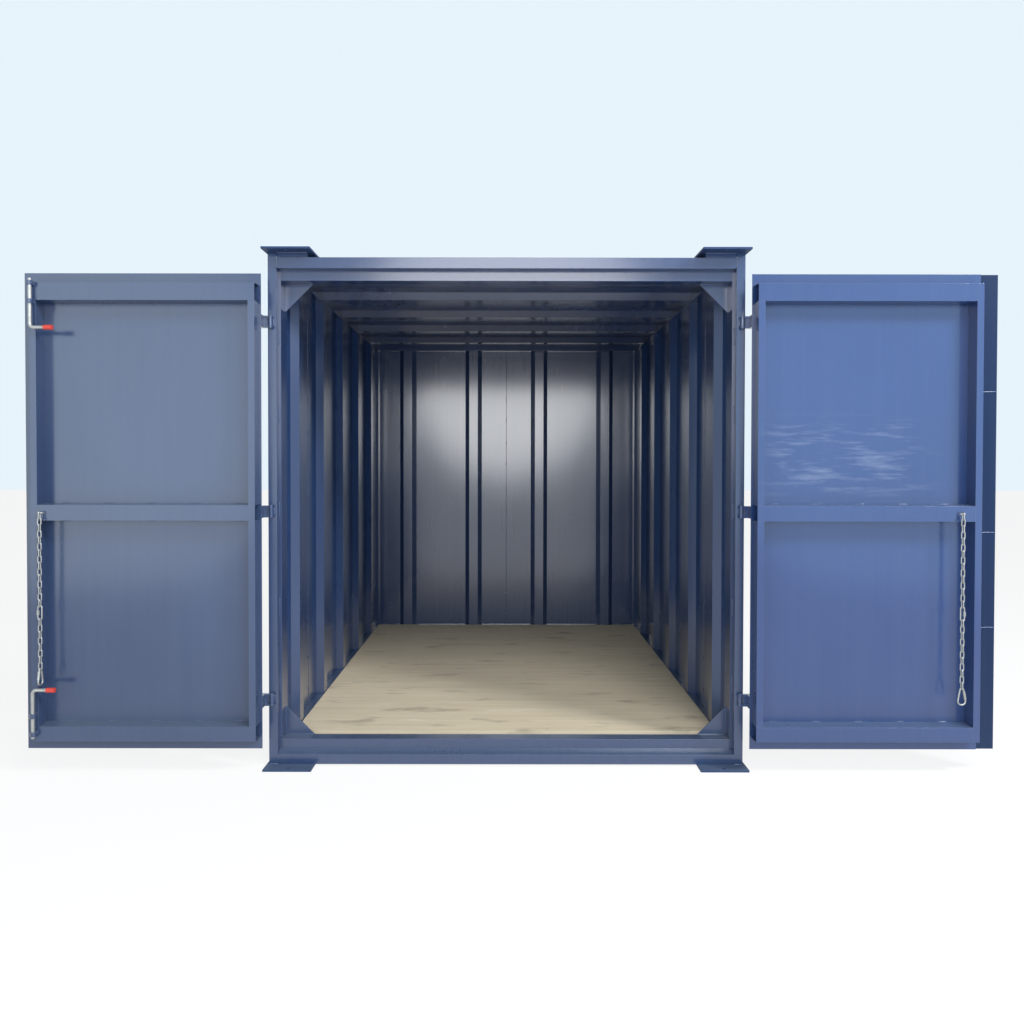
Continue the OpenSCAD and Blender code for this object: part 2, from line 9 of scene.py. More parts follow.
import bmesh
import bpy
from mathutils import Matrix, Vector


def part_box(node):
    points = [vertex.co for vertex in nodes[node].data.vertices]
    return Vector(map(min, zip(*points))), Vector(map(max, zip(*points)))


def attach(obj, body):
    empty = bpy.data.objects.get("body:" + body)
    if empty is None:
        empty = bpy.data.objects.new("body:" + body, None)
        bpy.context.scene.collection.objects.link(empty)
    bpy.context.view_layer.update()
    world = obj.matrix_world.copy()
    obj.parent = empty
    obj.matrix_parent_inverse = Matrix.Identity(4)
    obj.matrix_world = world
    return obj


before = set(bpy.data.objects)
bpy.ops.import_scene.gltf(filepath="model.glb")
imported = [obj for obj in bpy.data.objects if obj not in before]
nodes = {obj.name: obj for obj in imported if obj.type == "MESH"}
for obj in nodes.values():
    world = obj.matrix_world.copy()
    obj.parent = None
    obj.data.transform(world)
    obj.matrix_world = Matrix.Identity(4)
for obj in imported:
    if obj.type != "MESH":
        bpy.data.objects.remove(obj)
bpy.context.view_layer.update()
print("pieces of the store:", len(nodes))

# %% [markdown]
# Every later place is worked out from the solids themselves. Two helpers read single corners in
# the same way.

# %% Read the main planes
X, Y, Z = range(3)
TOUCH = 0.0005

post_low, post_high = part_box("front_posts")
front_y = post_low.y
doorway_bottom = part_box("sill_stop")[1].z
doorway_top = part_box("head_stop")[0].z


def levels(node, axis):
    """The places along one axis where a solid has corners, from low to high, in metres."""
    return sorted({round(corner.co[axis], 4) for corner in nodes[node].data.vertices})


def corners_at(node, axis, place):
    """The corners of a solid that lie on one plane across an axis."""
    return [corner.co for corner in nodes[node].data.vertices if abs(corner.co[axis] - place) < TOUCH]


print("front plane at", round(front_y, 4), "m")
print("doorway from", round(doorway_bottom, 3), "to", round(doorway_top, 3), "m")

# %% [markdown]
# The photograph was taken from the middle of the doorway at eye height, with a wide lens. Its
# vanishing point and horizon give the lens axis, and the width of the posts in the picture gives the
# distance. A camera could be turned until the picture fits, but then upright posts would lean, so a
# small lens shift is used, as an architect's camera does.

# %% Set up the camera
PICTURE_W, PICTURE_H = 1024, 1017
FOCAL_PX = 797
AXIS_X_PX, AXIS_Y_PX = 506.3, 475.5
SENSOR_MM = 36
EYE_HEIGHT = 1.562
EYE_TO_POSTS = 4.082
TILT_DOWN = math.radians(0.9)
LEAN = math.radians(-0.08)

lens = bpy.data.cameras.new("eye")
lens.sensor_width = SENSOR_MM
lens.lens = FOCAL_PX / PICTURE_W * SENSOR_MM
lens.shift_x = (PICTURE_W / 2 - AXIS_X_PX) / PICTURE_W
lens.shift_y = (AXIS_Y_PX - PICTURE_H / 2) / PICTURE_W
camera = bpy.data.objects.new("eye", lens)
camera.location = (0, front_y - EYE_TO_POSTS, EYE_HEIGHT)
camera.rotation_euler = (math.pi / 2 - TILT_DOWN, LEAN, 0)
bpy.context.scene.collection.objects.link(camera)
bpy.context.scene.camera = camera
print("lens", round(lens.lens, 2), "mm, shift", round(lens.shift_x, 4), round(lens.shift_y, 4))

# %% [markdown]
# A shader graph is hard to read as a list of nodes and links. Here a socket is wrapped in a small
# class, so that sums on sockets are written as sums in Python and each one adds a Math node.


# %% Write shader sums in Python
class Signal:
    """A value or colour on its way through a finish; sums on values add Math nodes."""

    def __init__(self, finish, socket):
        self.finish = finish
        self.socket = socket

    def math(self, operation, first, second):
        return self.finish.node("ShaderNodeMath", {"operation": operation}, {0: first, 1: second})

    def __add__(self, other):
        return self.math("ADD", self, other)

    def __radd__(self, other):
        return self.math("ADD", other, self)

    def __sub__(self, other):
        return self.math("SUBTRACT", self, other)

    def __rsub__(self, other):
        return self.math("SUBTRACT", other, self)

    def __mul__(self, other):
        return self.math("MULTIPLY", self, other)

    def __rmul__(self, other):
        return self.math("MULTIPLY", other, self)


print("sums on signals add Math nodes")

# %% [markdown]
# All other nodes come from one method, `Finish.node`, which sets a node's settings first and its
# sockets after that. The methods below it only give short names to the nodes that come up most: a
# colour mix, a noise, a stretched place, a ramp, and the part of a vector along an axis.


# %% Build a finish from nodes
class Finish:
    """One material, built up from signals and ended by its surface."""

    def __init__(self, name, tree=None):
        self.material = None
        if tree is None:
            self.material = bpy.data.materials.new(name)
            self.material.use_nodes = True
            tree = self.material.node_tree
        self.tree = tree
        self.tree.nodes.clear()

    def node(self, kind, settings=None, sockets=None, out=0):
        made = self.tree.nodes.new(kind)
        for key, value in (settings or {}).items():
            setattr(made, key, value)
        for key, value in (sockets or {}).items():
            if isinstance(value, Signal):
                self.tree.links.new(value.socket, made.inputs[key])
            else:
                made.inputs[key].default_value = value
        return Signal(self, made.outputs[out]) if made.outputs else None

    def place(self):
        """Where a point lies on its piece, in metres."""
        return self.node("ShaderNodeTexCoord", out="Object")

    def normal(self):
        """Which way a face looks."""
        return self.node("ShaderNodeNewGeometry", out="Normal")

    def mix(self, factor, first, second):
        """A colour that goes from the first to the second as the factor grows."""
        settings = {"data_type": "RGBA"}
        return self.node("ShaderNodeMix", settings, {0: factor, 6: first, 7: second}, out=2)

    def noise(self, place, scale, detail, **more):
        """A soft random value about one half, with finer and finer detail."""
        sockets = {"Vector": place, "Scale": scale, "Detail": detail, **more}
        return self.node("ShaderNodeTexNoise", {}, sockets)

    def stretched(self, place, shares):
        """A place whose three parts are multiplied by shares, so that a noise there is drawn out."""
        return self.node("ShaderNodeVectorMath", {"operation": "MULTIPLY"}, {0: place, 1: shares})

    def dot(self, first, second):
        """How far two vectors point the same way."""
        settings = {"operation": "DOT_PRODUCT"}
        return self.node("ShaderNodeVectorMath", settings, {0: first, 1: second}, out="Value")

    def part(self, vector, axis):
        """One part of a vector, by the name of its axis."""
        return self.node("ShaderNodeSeparateXYZ", {}, {0: vector}, out=axis)

    def ramp(self, value, start, full, shape="LINEAR"):
        """0 where the value is at its start, 1 where it is full, and a ramp between them."""
        sockets = {"Value": value, "From Min": start, "From Max": full}
        return self.node("ShaderNodeMapRange", {"interpolation_type": shape}, sockets)

    def surface(self, sockets):
        shader = self.node("ShaderNodeBsdfPrincipled", {}, sockets)
        self.node("ShaderNodeOutputMaterial", {}, {"Surface": shader})
        return self.material


print("finishes can be built")

# %% [markdown]
# The store stands on a plain pale floor under a pale sky. A background could be made white with more
# light, but then the paint would wash out. So the floor and the sky look white only to the rays that
# show them: rays from the eye, from a mirror or through a clear body. This signal tells them apart.


# %% Find the rays that show the background
def seen_rays(finish):
    """1 for a ray from the eye, a mirror or a clear body, and 0 for a ray that only carries light."""
    seen = finish.node("ShaderNodeLightPath", out="Is Camera Ray")
    for kind in ("Is Glossy Ray", "Is Transmission Ray"):
        other = finish.node("ShaderNodeLightPath", out=kind)
        seen = finish.node("ShaderNodeMath", {"operation": "MAXIMUM"}, {0: seen, 1: other})
    return seen


print("seen rays are told from light rays")

# %% [markdown]
# The floor mixes a lit grey with a plain white. The lit part keeps the store's shadow, and the white
# part makes it look like paper.

# %% Make the floor
FLOOR_HALF = 40
FLOOR_PALE = (0.9, 0.9, 0.9, 1)
FLOOR_ROUGH = 0.9
FLOOR_WHITE = 0.85
SIDES = ((-1, -1), (1, -1), (1, 1), (-1, 1))

floor_mesh = bpy.data.meshes.new("pale_floor")
floor_corners = [(x * FLOOR_HALF, y * FLOOR_HALF, 0) for x, y in SIDES]
floor_mesh.from_pydata(floor_corners, [], [(0, 1, 2, 3)])
pale_floor = bpy.data.objects.new("pale_floor", floor_mesh)
bpy.context.scene.collection.objects.link(pale_floor)
ground = Finish("pale_floor")
lit = ground.node("ShaderNodeBsdfPrincipled", {}, {"Base Color": FLOOR_PALE, "Roughness": FLOOR_ROUGH})
white = ground.node("ShaderNodeEmission", {}, {"Strength": 1})
shown = ground.node("ShaderNodeMixShader", {}, {0: FLOOR_WHITE * seen_rays(ground), 1: lit, 2: white})
ground.node("ShaderNodeOutputMaterial", {}, {"Surface": shown})
floor_mesh.materials.append(ground.material)
print("floor is", 2 * FLOOR_HALF, "m wide")

# %% [markdown]
# The sky fills the shadows from all round. It lights the store weakly and shows at full strength.

# %% Hang a pale sky
SKY = (0.8, 0.9, 0.97, 1)
SKY_LIGHT = 0.42

world = bpy.data.worlds.new("pale_sky")
world.use_nodes = True
bpy.context.scene.world = world
sky = Finish("pale_sky", world.node_tree)
strength = SKY_LIGHT + (1 - SKY_LIGHT) * seen_rays(sky)
glow = sky.node("ShaderNodeBackground", {}, {"Color": SKY, "Strength": strength})
sky.node("ShaderNodeOutputWorld", {}, {"Surface": glow})
bpy.context.scene.view_settings.view_transform = "Standard"
print("sky lights the store at", SKY_LIGHT, "and shows at 1")

# %% [markdown]
# One sun would do to see the store's shape, but gloss paint looks dull unless it has something bright
# to mirror. So three large soft lamps stand behind the camera: the rear wall mirrors the middle one,
# and each door mirrors the one on its own side. They are wide and weak, so that a colour still
# renders about as it is written. A high lamp reaches the floor boards through the doorway, and a
# small one at the right stands for the sun.

# %% Stand the soft lamps
WHITE = (1, 1, 1)
COOL = (0.88, 0.98, 1)
BLUE = (0.42, 0.68, 1)


def soft_lamp(name, place, target, size, glow, colour=WHITE):
    """A flat lamp that faces its target; glow is how bright its face looks."""
    lamp = bpy.data.lights.new(name, "AREA")
    lamp.shape = "ELLIPSE"
    lamp.size, lamp.size_y = size
    lamp.energy = glow * math.pi * size[0] * size[1]
    lamp.color = colour
    made = bpy.data.objects.new(name, lamp)
    made.location = place
    aim = Vector(target) - Vector(place)
    made.rotation_euler = aim.to_track_quat("-Z", "Y").to_euler()
    bpy.context.scene.collection.objects.link(made)
    print(name, round(lamp.energy), "W")


soft_lamp("middle_lamp", place=(0, -8.5, 3.2), target=(0, 1.0, 1.0), size=(4.0, 3.9), glow=4.0)
soft_lamp(
    "left_lamp", place=(-4.8, -7.3, 2.2), target=(-1.8, -1.5, 1.3), size=(4.4, 5.0), glow=1.3, colour=COOL)
soft_lamp(
    "right_lamp", place=(4.8, -7.3, 2.2), target=(1.8, -1.5, 1.3), size=(4.6, 5.2), glow=1.05, colour=BLUE)
soft_lamp("high_lamp", place=(2.6, -6.2, 7.6), target=(-0.4, -0.8, 0.2), size=(3.2, 3.2), glow=10)
soft_lamp("sun_lamp", place=(5.4, -4.6, 5.8), target=(-0.6, -1.0, 0.1), size=(1.4, 1.4), glow=60)

# %% [markdown]
# The whole store is sprayed in one navy gloss. Real sprayed steel is never even, so the paint needs a
# few helpers before it is mixed. Corners are painted paler, partly as worn paint and partly as a
# painted highlight on a rounded edge: a Bevel node bends the light there as if the corner were round
# and leaves the solid alone, and where the bent normal turns away from the face, the pale colour goes
# in. Dirt lies in bands, which are ramps up and down again.

# %% Find corners and bands
CORNER_R = 0.003
CORNER_RAYS = 4
CORNER_START, CORNER_FULL = 0.985, 0.9
SPECK_LOW, SPECK_RISE = 0.96, 0.07


def scaled(colour, share):
    """The same colour, lighter or darker."""
    return (*(share * part for part in colour[:3]), 1)


def corner_wear_and_highlight(paint, specks):
    """1 on the corners of a solid and 0 on its faces, broken up by specks, with the rounded normal."""
    # The corner mask marks worn paint and a painted highlight along the edges.
    rounded = paint.node("ShaderNodeBevel", {"samples": CORNER_RAYS}, {"Radius": CORNER_R})
    turn = paint.dot(rounded, paint.normal())
    wear_and_highlight = paint.ramp(turn * (SPECK_LOW + SPECK_RISE * specks), CORNER_START, CORNER_FULL)
    return wear_and_highlight, rounded


def above(paint, value, level, soft):
    """0 below a level and 1 above it, with a soft edge."""
    return paint.ramp(value, level - soft, level + soft, "SMOOTHSTEP")


def band(paint, value, ends, soft):
    """1 where a value lies between two ends, with soft edges."""
    low, high = ends
    return above(paint, value, low, soft) * (1 - above(paint, value, high, soft))


print("corners, bands and shades are ready")

# %% [markdown]
# Dust is one signal with four causes: a thin film everywhere, splashes near the ground, faint upright
# runs left by rain, and what settles on ledges. A run is a noise that is drawn out upright.

# %% Let dust settle
RUN_SHARES = (26, 26, 0.9)
RUN_DETAIL = 4
SPLASH_HEIGHT, SPLASH_SOFT = 0.45, 0.4
LEDGE_START, LEDGE_FULL = 0.6, 0.95
SPLASHES, STREAKS, SETTLED = 0.08, 0.06, 0.2


def dust_on(paint, place, film, drift, specks):
    """How much dust lies at a place, from 0 to 1."""
    runs = paint.noise(paint.stretched(place, RUN_SHARES), 1, RUN_DETAIL)
    low_down = 1 - above(paint, paint.part(place, "Z"), SPLASH_HEIGHT, SPLASH_SOFT)
    ledge = paint.ramp(paint.part(paint.normal(), "Z"), LEDGE_START, LEDGE_FULL)
    dust = film * (0.5 + drift) + SPLASHES * low_down * specks
    return dust + STREAKS * (runs - 0.5) + SETTLED * ledge * (0.5 + specks)


print("dust settles on ledges and near the ground")

# %% [markdown]
# On the right door someone has wiped the paint and left chalky marks between two heights. The marks
# are a noise that is drawn out level, and two bands keep it to the wiped part.

# %% Wipe the right door
CHALK = (0.34, 0.38, 0.46, 1)
CHALK_SHARE = 0.3
WIPE_SHARES = (2.2, 2, 16)
WIPE_SCALE, WIPE_DETAIL, WIPE_ROUGH = 1.6, 6, 0.65
WIPE_START, WIPE_FULL = 0.5, 0.75
WIPED_HEIGHTS, WIPED_HEIGHT_SOFT = (1.42, 1.76), 0.08
WIPED_WIDTHS, WIPED_WIDTH_SOFT = (1.32, 2.1), 0.12


def wiped(paint, place, colour):
    """The colour with chalky wipes on it."""
    level = paint.stretched(place, WIPE_SHARES)
    wipes = paint.noise(level, WIPE_SCALE, WIPE_DETAIL, Roughness=WIPE_ROUGH)
    chalk = paint.ramp(wipes, WIPE_START, WIPE_FULL)
    chalk = chalk * band(paint, paint.part(place, "Z"), WIPED_HEIGHTS, WIPED_HEIGHT_SOFT)
    chalk = chalk * band(paint, paint.part(place, "X"), WIPED_WIDTHS, WIPED_WIDTH_SOFT)
    return paint.mix(CHALK_SHARE * chalk, colour, CHALK)


print("wipes from", WIPED_HEIGHTS[0], "to", WIPED_HEIGHTS[1], "m up")

# %% [markdown]
# Now the paint itself. Thin sheet waves a little, so its mirror images bend: a wide, upright noise
# drives a Bump node, and a very fine one adds the orange peel of sprayed paint. The sheets keep a
# bright lacquer inside the store, where rain and sun don't reach, and have lost it outside. A face
# looks out when its normal points the way that the face lies from the middle of the store.

# %% Spray the navy paint
NAVY = (0.014, 0.036, 0.108, 1)
# The right door has the same paint as the rest, but its colour is bluer: a painted reflection of the blue
# sky.
NAVY_WITH_PAINTED_SKY = (0.011, 0.036, 0.135, 1)
# The cover strip has the same navy, painted darker as painted shade.
PAINTED_SHADE_NAVY = scaled(NAVY, 0.55)
# Pale navy: on corners it is partly worn paint and partly a painted highlight; the rear tacks have it as
# their own paler colour.
PALE_NAVY = (0.14, 0.18, 0.28, 1)
DUST = (0.18, 0.22, 0.25, 1)
DRIFT_SCALE, DRIFT_DETAIL = 1.1, 3
DRIFT_DARK, DRIFT_LIGHT = 0.86, 1.16
SPECK_SCALE, SPECK_DETAIL, SPECK_ROUGH = 90, 5, 0.7
WAVE_SHARES = (2.6, 2.6, 1.1)
PEEL_SCALE, PEEL_HEIGHT = 240, 0.00004
WEAR_AND_HIGHLIGHT_SHARE = 0.32
DRIFT_DULL, DUST_DULL = 0.08, 0.3
COAT_GLOSS = 0.75
COAT_IOR = 1.5
OUT_START, OUT_FULL = -0.9, 0.9
WORN, WORN_DULL = 0.85, 0.15


def navy_paint(name, deep, film, gloss, wave, shine=0.5, lacquer=None, wipe=False):
    """Navy gloss with dust, waves and corners painted paler for wear and as a painted highlight, and perhaps
    with a lacquer or with wipes.
    """
    paint = Finish(name)
    place = paint.place()
    drift = paint.noise(place, DRIFT_SCALE, DRIFT_DETAIL)
    specks = paint.noise(place, SPECK_SCALE, SPECK_DETAIL, Roughness=SPECK_ROUGH)
    dust = dust_on(paint, place, film, drift, specks)
    wear_and_highlight, rounded = corner_wear_and_highlight(paint, specks)

    colour = paint.mix(drift, scaled(deep, DRIFT_DARK), scaled(deep, DRIFT_LIGHT))
    colour = paint.mix(dust, colour, DUST)
    if wipe:
        colour = wiped(paint, place, colour)
    # Corners go towards pale navy, for worn paint and as a painted highlight.
    colour = paint.mix(WEAR_AND_HIGHLIGHT_SHARE * wear_and_highlight, colour, PALE_NAVY)

    waves = paint.noise(paint.stretched(place, WAVE_SHARES), 1, 1)
    peel = paint.noise(place, PEEL_SCALE, 1)
    bump = {"Height": waves * wave + PEEL_HEIGHT * peel, "Distance": 1, "Normal": rounded}
    rough = gloss + DRIFT_DULL * drift + DUST_DULL * dust
    coat = shine
    if lacquer:
        outside = paint.ramp(paint.dot(place, paint.normal()), OUT_START, OUT_FULL)
        coat = 1 - WORN * outside
        rough = rough + WORN_DULL * outside
    return paint.surface({
        "Base Color": colour, "Roughness": rough, "Normal": paint.node("ShaderNodeBump", {}, bump),
        "Specular IOR Level": shine, "Coat Weight": coat, "Coat Roughness": COAT_GLOSS * gloss,
        "Coat IOR": lacquer or COAT_IOR})


frame_paint = navy_paint("frame_paint", NAVY, film=0.02, gloss=0.18, wave=0.0006, shine=0.65)
plate_paint = navy_paint("plate_paint", NAVY, film=0.05, gloss=0.5, wave=0.0006, shine=0.1)
wall_paint = navy_paint("wall_paint", NAVY, film=0.02, gloss=0.22, wave=0.012, shine=0.3, lacquer=1.8)
left_door_paint = navy_paint("left_door_paint", NAVY, film=0.1, gloss=0.16, wave=0.005)
tack_paint = navy_paint("tack_paint", PALE_NAVY, film=0.3, gloss=0.3, wave=0.0006, shine=1)
# The strip is painted in a darker navy as painted shade.
strip_paint = navy_paint("strip_paint", PAINTED_SHADE_NAVY, film=0.01, gloss=0.5, wave=0.001, shine=0.1)
# The right door's bluer navy is a painted reflection of the sky.
right_door_paint = navy_paint("right_door_paint", NAVY_WITH_PAINTED_SKY, film=0.05, gloss=0.16, wave=0.005, wipe=True)
print("navy paint for the frame, plates, walls, doors, tacks and strip")

# %% [markdown]
# The floor boards are plywood, laid with the grain across the store. Wood grain is a noise that is
# stretched along the grain until its blotches become lines. Boots and goods leave darker scuffs on
# it and wear it paler in places, so two wide noises are laid over the grain.

# %% Saw the plywood
PLY_PALE = (0.69, 0.6, 0.44, 1)
PLY_BROWN = (0.54, 0.45, 0.31, 1)
PLY_SCUFF = (0.24, 0.2, 0.15, 1)
PLY_CHALK = (0.76, 0.71, 0.61, 1)
GRAIN_SHARES = (1.4, 34, 34)
GRAIN_HEIGHT = 0.0004
SCUFF_SHARES = (3.2, 9, 9)
PATCH_SCALE = 2.4
PATCHES, SCUFFS, WORN_PALE = 0.6, 0.65, 0.4

ply = Finish("plywood")
place = ply.place()
grain = ply.noise(ply.stretched(place, GRAIN_SHARES), 1, 7, Roughness=0.62, Distortion=0.35)
patch = ply.noise(place, PATCH_SCALE, 3)
scuffs = ply.noise(ply.stretched(place, SCUFF_SHARES), 1, 6, Roughness=0.6)
wood = ply.mix(ply.ramp(grain, 0.3, 0.7), PLY_BROWN, PLY_PALE)
wood = ply.mix(PATCHES * patch, wood, PLY_PALE)
wood = ply.mix(SCUFFS * ply.ramp(scuffs, 0.57, 0.74), wood, PLY_SCUFF)
wood = ply.mix(WORN_PALE * ply.ramp(scuffs, 0.4, 0.28), wood, PLY_CHALK)
lie = ply.node("ShaderNodeBump", {}, {"Height": GRAIN_HEIGHT * grain, "Distance": 1})
plywood = ply.surface({"Base Color": wood, "Roughness": 0.6 + 0.2 * grain, "Normal": lie})
print("plywood with grain across the store")

# %% [markdown]
# The bolts and chains are zinc plated. Plating is a metal, so its colour is all mirror image. Small
# crystals and handling marks dull it in spots and change how sharp that image is.

# %% Plate the zinc
ZINC_BRIGHT = (0.5, 0.5, 0.48, 1)
ZINC_DULL = (0.24, 0.25, 0.25, 1)
ZINC_METAL = 0.85
CRYSTAL_SCALE = 160
TARNISH_SCALE = 38

plating = Finish("zinc_plate")
place = plating.place()
cells = {"Vector": place, "Scale": CRYSTAL_SCALE}
crystal = plating.node("ShaderNodeTexVoronoi", {"feature": "F1"}, cells, out="Distance")
tarnish = plating.noise(place, TARNISH_SCALE, 4)
zinc_colour = plating.mix(0.25 * crystal + 0.6 * tarnish, ZINC_BRIGHT, ZINC_DULL)
zinc_sheen = 0.28 + 0.2 * tarnish + 0.1 * crystal
zinc = plating.surface({"Base Color": zinc_colour, "Metallic": ZINC_METAL, "Roughness": zinc_sheen})
print("zinc plate")

# %% [markdown]
# The grips on the bolt handles are dipped in red plastic. Dipped plastic is slightly soft and thick,
# so it has a broad sheen, and dirt stays where fingers rub.

# %% Dip the red grips
RED = (0.68, 0.05, 0.03, 1)
RED_DIRTY = (0.4, 0.04, 0.03, 1)
HANDLED_SCALE = 55
PEBBLE_SCALE, PEBBLE_HEIGHT = 700, 0.00008

dip = Finish("red_plastic")
place = dip.place()
handled = dip.noise(place, HANDLED_SCALE, 4)
pebble = dip.noise(place, PEBBLE_SCALE, 2)
lie = dip.node("ShaderNodeBump", {}, {"Height": PEBBLE_HEIGHT * pebble, "Distance": 1})
red_colour = dip.mix(handled, RED, RED_DIRTY)
red_plastic = dip.surface({"Base Color": red_colour, "Roughness": 0.34 + 0.2 * handled, "Normal": lie})
print("red plastic")

# %% [markdown]
# Now each solid gets its finish. The names of the pieces say where they belong, so the finish is
# picked by name, and whatever is left over is part of the painted frame.

# %% Dress the solids
WALLS = ("left_wall", "right_wall", "rear_wall", "roof")
PLATES = ("base_plates", "stacking_plates")
GRIPS = ("upper_bolt_grip", "lower_bolt_grip")
BOLTS = ("upper_bolt", "lower_bolt")


def finish_for(name):
    """The finish that a solid has on the real store."""
    if name == "floor_boards":
        return plywood
    if name in GRIPS:
        return red_plastic
    if name in BOLTS or "chain" in name or "snap_hook" in name:
        return zinc
    if name in WALLS:
        return wall_paint
    if name in PLATES:
        return plate_paint
    if name == "right_door_cover_strip":
        return strip_paint
    if name.startswith("left_door") or name == "bolt_guides":
        return left_door_paint
    if name.startswith("right_door"):
        return right_door_paint
    return frame_paint


for name, solid in nodes.items():
    solid.data.materials.clear()
    solid.data.materials.append(finish_for(name))
print("dressed", len(nodes), "solids")

# %% [markdown]
# Weld metal holds the store together. A bead could be a smooth tube, but a welder's hand shows as
# small ripples, one for each pause of the torch. So a bead is a tube whose radius rises and falls
# along the run and is closed at both ends.

# %% Lay a weld bead
BEAD_STEP = 0.006
BEAD_SIDES = 8
FEWEST_STEPS = 3
RIPPLE = 0.16
RIPPLE_TURN = 2.1
END_SHARE = 0.5
SKEW = Vector((0.3, 0.5, 0.8))


def add_run(mesh, start, end, radius):
    """Adds one rippled bead between two points."""
    start, end = Vector(start), Vector(end)
    way = (end - start).normalized()
    across = way.cross(SKEW).normalized()
    up = way.cross(across)
    steps = max(FEWEST_STEPS, round((end - start).length / BEAD_STEP))
    turns = [2 * math.pi * side / BEAD_SIDES for side in range(BEAD_SIDES)]
    rim = [math.cos(turn) * across + math.sin(turn) * up for turn in turns]
    rings = []
    for k in range(steps + 1):
        swell = radius * (1 + RIPPLE * math.sin(RIPPLE_TURN * k))
        if k in (0, steps):
            swell *= END_SHARE
        middle = start.lerp(end, k / steps)
        rings.append([mesh.verts.new(middle + swell * reach) for reach in rim])
    for one, two in zip(rings, rings[1:]):
        for side in range(BEAD_SIDES):
            after = (side + 1) % BEAD_SIDES
            mesh.faces.new((one[side], one[after], two[after], two[side]))
    mesh.faces.new(reversed(rings[0]))
    mesh.faces.new(rings[-1])


print("a bead has", BEAD_SIDES, "sides and a step of", BEAD_STEP, "m")

# %% [markdown]
# All runs of one joint that ride on one body are one mesh, so a door takes its welds along when it
# swings. The store is alike on both sides, so most runs are written once, for the right side.

# %% Make a piece of weld metal
BEAD_R = 0.004


def weld(name, body, runs, paint, radius=BEAD_R):
    """Makes one piece from runs, each a start and an end, and lets it ride on a body."""
    mesh = bmesh.new()
    for start, end in runs:
        add_run(mesh, start, end, radius)
    bmesh.ops.recalc_face_normals(mesh, faces=mesh.faces)
    data = bpy.data.meshes.new(name)
    mesh.to_mesh(data)
    mesh.free()
    data.shade_smooth()
    data.materials.append(paint)
    piece = bpy.data.objects.new(name, data)
    bpy.context.scene.collection.objects.link(piece)
    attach(piece, body)
    print(name, "has", len(runs), "runs and", len(data.polygons), "faces")


def both_sides(runs):
    """The same runs on the right and on the left of the store."""
    return [tuple((side * x, y, z) for x, y, z in run) for side in (1, -1) for run in runs]


print("a frame bead is", 2 * BEAD_R, "m thick")

# %% [markdown]
# The doorway's four corners are stiffened by gusset plates. Each is welded along the inner post and
# along the stop, on the side that faces the door, where the bead shows as a pale line.

# %% Weld the corner gussets
gusset_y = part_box("frame_gussets")[0].y
gusset_tip_x, gusset_x = levels("frame_gussets", X)[-2:]
gusset_zs = levels("frame_gussets", Z)
low_edge, low_tip = gusset_zs[1:3]
high_tip, high_edge = gusset_zs[-3:-1]
runs = []
for edge, tip in ((low_edge, low_tip), (high_edge, high_tip)):
    runs.append(((gusset_x, gusset_y, edge), (gusset_x, gusset_y, tip)))
    runs.append(((gusset_x, gusset_y, edge), (gusset_tip_x, gusset_y, edge)))
weld("gusset_welds", "cabin", both_sides(runs), frame_paint)

# %% [markdown]
# The front posts stand before the deeper inner posts and are stitched to them: short beads with long
# gaps, because one long weld would pull the thin tubes crooked.

# %% Stitch the front posts
STITCH = 0.09
STITCH_SHARES = (0.12, 0.29, 0.5, 0.71, 0.88)

header_low, header_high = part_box("front_header")
stitch_x = header_high.x
stitch_y = header_high.y
runs = []
for share in STITCH_SHARES:
    z = doorway_bottom + share * (doorway_top - doorway_bottom)
    runs.append(((stitch_x, stitch_y, z - STITCH / 2), (stitch_x, stitch_y, z + STITCH / 2)))
weld("post_stitches", "cabin", both_sides(runs), frame_paint)

# %% [markdown]
# Base plates, stacking blocks and stacking plates carry the whole load when stores stand on each
# other. Their joints are welded along the front and the rear, where a welder can reach them, and a
# run climbs the front post beside the header's end.

# %% Weld the plates and blocks
plate_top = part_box("base_plates")[0].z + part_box("stacking_plates")[1].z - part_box("stacking_blocks")[1].z
block_low, block_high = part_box("stacking_blocks")
block_inner_x = levels("stacking_blocks", X)[-4]
post_foot_x = {front_y: stitch_x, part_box("rear_posts")[1].y: levels("rear_posts", X)[-4]}
runs = []
for y, foot_x in post_foot_x.items():
    runs.append(((post_high.x, y, plate_top), (foot_x, y, plate_top)))
    for z in (block_low.z, block_high.z):
        runs.append(((block_high.x, y, z), (block_inner_x, y, z)))
runs.append(((stitch_x, front_y, header_low.z), (stitch_x, front_y, block_high.z)))
weld("plate_welds", "cabin", both_sides(runs), frame_paint)

# %% [markdown]
# Each hinge has a knuckle on the post and two swan-necked lugs on the door. A knuckle is welded on
# both of its sides, where the corners of the solid give its bottom and top.

# %% Weld the hinge knuckles
KNUCKLE_LEVELS = 4

knuckle_low, knuckle_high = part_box("right_post_hinges")
hinge_levels = levels("right_post_hinges", Z)
runs = []
for k in range(0, len(hinge_levels), KNUCKLE_LEVELS):
    bottom, top = hinge_levels[k + 1], hinge_levels[k + 2]
    for x in (knuckle_low.x, knuckle_high.x):
        runs.append(((x, front_y, bottom), (x, front_y, top)))
weld("knuckle_welds", "cabin", both_sides(runs), frame_paint)

# %% [markdown]
# A bent web joins the two lugs of a hinge, and each lug is welded to the door's outer skin above and
# below. These beads ride on the doors, one piece for each door.

# %% Weld the hinge lugs
THIN_BEAD_R = 0.003
LUG_START_SHARE = 0.1
DOORS = (("right", right_door_paint), ("left", left_door_paint))

